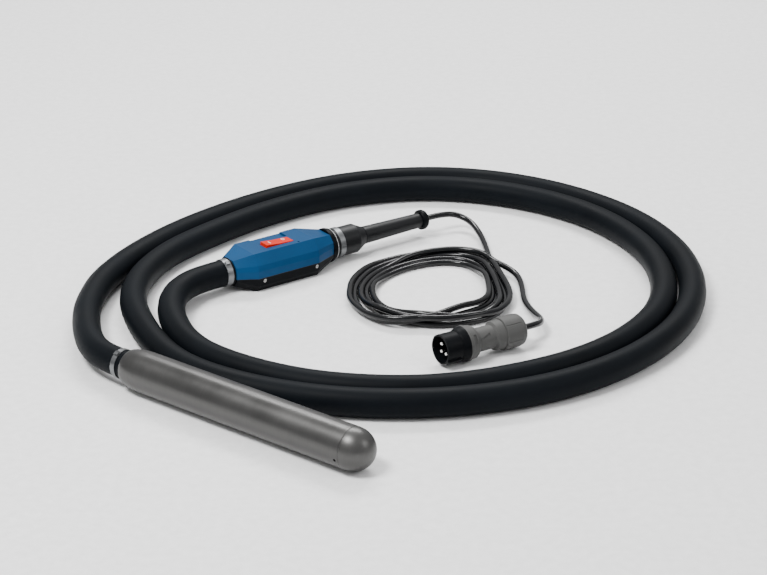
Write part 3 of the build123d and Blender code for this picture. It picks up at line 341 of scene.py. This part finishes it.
full = [p[:2] for p in LEAD[-2:]] + flat
fine = dense(full)
K = 6
height = [4.6] * len(fine)
cell = {}
SEP = 8.9
order = len(fine)
block = PER * K // 3
for b0 in range(0, order, block):
    idx = range(b0, min(order, b0 + block))
    for i in idx:
        x, y = fine[i]
        z = 4.6
        cx, cy = int(x // 10), int(y // 10)
        for gx in (cx - 1, cx, cx + 1):
            for gy in (cy - 1, cy, cy + 1):
                for j in cell.get((gx, gy), ()):
                    if i - j < PER * K // 2:
                        continue
                    d2 = (fine[j][0] - x) ** 2 + (fine[j][1] - y) ** 2
                    if d2 < SEP * SEP:
                        z = max(z, height[j] + math.sqrt(SEP * SEP - d2))
        height[i] = z
    # a strand climbs and falls gently
    for i in list(idx)[1:]:
        d = math.dist(fine[i], fine[i - 1])
        height[i] = max(height[i], height[i - 1] - 0.22 * d)
    for i in reversed(list(range(max(0, b0 - block), min(order, b0 + block) - 1))):
        d = math.dist(fine[i], fine[i + 1])
        height[i] = max(height[i], height[i + 1] - 0.22 * d)
    for i in idx:
        cell.setdefault((int(fine[i][0] // 10), int(fine[i][1] // 10)), []).append(i)
print("coil top", max(height) + R)
top = 16.4
coil = []
for n_, p in enumerate(flat):
    i = (n_ + 2) * K
    coil.append((p[0], p[1], min(top, height[min(i, order - 1)])))
CORD = LEAD + coil[1:] + TAIL
cord = spline_cord("supply_cord", CORD, 8.8, M["cord"])
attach(cord, "body")
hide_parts("supply_cord_lead", "supply_cord_coil", "supply_cord_tail")


# ------------------------------------------------------------------ small shown pieces
def link(name, bm, mat, body="body", smooth=True):
    me = bpy.data.meshes.new(name)
    bmesh.ops.recalc_face_normals(bm, faces=bm.faces)
    bm.to_mesh(me)
    bm.free()
    for p in me.polygons:
        p.use_smooth = smooth
    me.materials.append(mat)
    ob = bpy.data.objects.new(name, me)
    bpy.context.scene.collection.objects.link(ob)
    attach(ob, body)
    return ob


def ring(name, o, d, s, r, tube, mat, seg=72, tseg=10):
    """Thin torus round an assembly axis."""
    bm = bmesh.new()
    n_ = side(d)
    rows = []
    for i in range(seg):
        a = 2 * math.pi * i / seg
        rad = n_ * math.cos(a) + UP * math.sin(a)
        c = o + d * (s * MM) + rad * (r * MM)
        rows.append([bm.verts.new(c + (rad * math.cos(b) + d * math.sin(b)) * (tube * MM)) for b in (2 * math.pi * j / tseg for j in range(tseg))])
    for i in range(seg):
        for j in range(tseg):
            bm.faces.new((rows[i][j], rows[(i + 1) % seg][j], rows[(i + 1) % seg][(j + 1) % tseg], rows[i][(j + 1) % tseg]))
    return link(name, bm, mat)


# thin pale ring on the collar rim: a painted highlight standing in for light caught by the rim edge
ring("collar_rim_painted_highlight", SW_O, SW_D, 188.7, 23.9, 0.35, M["light"])
ring("boot_seam_line", SW_O, SW_D, 246.9, 13.2, 0.4, M["black"])
ring("hose_mouth_bead", SW_O, SW_D, 13.9, 19.6, 1.2, M["black"])


def bar(name, centre, ax, ay, az, sx, sy, sz, mat, body, bevel=0.0):
    bm = bmesh.new()
    bmesh.ops.create_cube(bm, size=1.0)
    for v in bm.verts:
        v.co = centre + ax * (v.co.x * sx * MM) + ay * (v.co.y * sy * MM) + az * (v.co.z * sz * MM)
    if bevel:
        bmesh.ops.bevel(bm, geom=bm.edges[:], offset=bevel * MM, segments=2, affect="EDGES")
    return link(name, bm, mat, body, smooth=False)


# closing ears of the crimped bands
for nm, o, d, s, r, h_ in (("head_band_ear", HEAD_O, HEAD_D, -9.2, 19.9, -0.5), ("switch_band_ear", SW_O, SW_D, 7.6, 19.9, -0.35)):
    ang = math.radians(118)
    rad = side(d) * math.cos(ang) + UP * math.sin(ang)
    tan = rad.cross(d)
    bar(nm, o + d * (s * MM) + rad * (r + 0.7) * MM, tan, d, rad, 5.0, 5.6, 2.2, M["band"], "body", 0.5)

# marks on the rocker
TILT = math.radians(4.0)
RT = (SW_D * math.cos(TILT) - UP * math.sin(TILT)).normalized()
RU = (UP * math.cos(TILT) + SW_D * math.sin(TILT)).normalized()
RP = at(SW_O, SW_D, 93.0, -6.0, 19.0)


def on_rocker(t, h, up=0.0):
    z = 9.8 + abs(t) * (0.7 / 22.4)
    return RP + RT * (t * MM) + side(SW_D) * (h * MM) + RU * ((z + up) * MM)


def facet(t):
    slope = math.atan(0.7 / 22.4) * (1 if t > 0 else -1)
    tx = RT * math.cos(slope) + RU * math.sin(slope)
    return tx, tx.cross(side(SW_D)).normalized()


tx, tz = facet(-1)
bar("mark_on", on_rocker(-12.4, 1.0, 0.06), tx, side(SW_D), tz, 1.2, 7.4, 0.16, M["mark"], "rocker")
tx, tz = facet(1)
bm = bmesh.new()
c0 = on_rocker(12.4, 4.2, 0.06)
seg = 40
rows = []
for i in range(seg):
    a = 2 * math.pi * i / seg
    e = tx * math.cos(a) * 0.8 + side(SW_D) * math.sin(a)
    rows.append([bm.verts.new(c0 + e * (r * MM) + tz * (z * MM)) for r, z in ((3.3, -0.1), (3.3, 0.08), (2.3, 0.08), (2.3, -0.1))])
for i in range(seg):
    for j in range(4):
        bm.faces.new((rows[i][j], rows[(i + 1) % seg][j], rows[(i + 1) % seg][(j + 1) % 4], rows[i][(j + 1) % 4]))
link("mark_off", bm, M["mark"], "rocker", smooth=False)

# ------------------------------------------------------------------ floor, backdrop and light
bm = bmesh.new()
bmesh.ops.create_grid(bm, x_segments=1, y_segments=1, size=30)
me = bpy.data.meshes.new("floor")
bm.to_mesh(me)
bm.free()
floor = bpy.data.objects.new("floor", me)
floor.location = (0, 0, -0.0004)
bpy.context.scene.collection.objects.link(floor)
me.materials.append(material("floor_white", (0.90, 0.90, 0.90), 0.75, vary=0.01, rough_vary=0.03, bump=0.00002, grain=80, patch=1.5))

world = bpy.data.worlds.new("studio")
bpy.context.scene.world = world
world.use_nodes = True
wn, wl = world.node_tree.nodes, world.node_tree.links
bg = wn["Background"]
wtc = wn.new("ShaderNodeTexCoord")
sep = wn.new("ShaderNodeSeparateXYZ")
wr = wn.new("ShaderNodeValToRGB")
wr.color_ramp.elements[0].position = 0.0
wr.color_ramp.elements[0].color = (0.55, 0.55, 0.56, 1)
wr.color_ramp.elements[1].position = 0.9
wr.color_ramp.elements[1].color = (1.0, 1.0, 1.0, 1)
wl.new(wtc.outputs["Generated"], sep.inputs[0])
wl.new(sep.outputs["Z"], wr.inputs[0])
wl.new(wr.outputs[0], bg.inputs[0])
bg.inputs[1].default_value = 0.85


def area(name, loc, target, size, power):
    li = bpy.data.lights.new(name, "AREA")
    li.shape = "RECTANGLE"
    li.size, li.size_y = size
    li.energy = power
    ob = bpy.data.objects.new(name, li)
    ob.location = loc
    ob.rotation_euler = (Vector(target) - Vector(loc)).to_track_quat("-Z", "Y").to_euler()
    bpy.context.scene.collection.objects.link(ob)


area("key", (-1.2, -0.9, 2.7), (0.1, 0.15, 0), (1.2, 0.8), 125)
area("back", (0.3, 2.3, 2.6), (0.15, 0.2, 0), (2.2, 0.6), 112)
area("fill", (2.4, -1.0, 1.8), (0.15, 0.1, 0), (1.0, 1.0), 18)

for ob in nodes.values():
    if ob.name.split(".")[0] in ("rocker_button", "switch_upper_cover", "switch_lower_shell"):
        bv = ob.modifiers.new("edge", "BEVEL")
        bv.width = 0.0009
        bv.segments = 3
        bv.limit_method = "ANGLE"
        bv.angle_limit = math.radians(14)
        bv.harden_normals = False
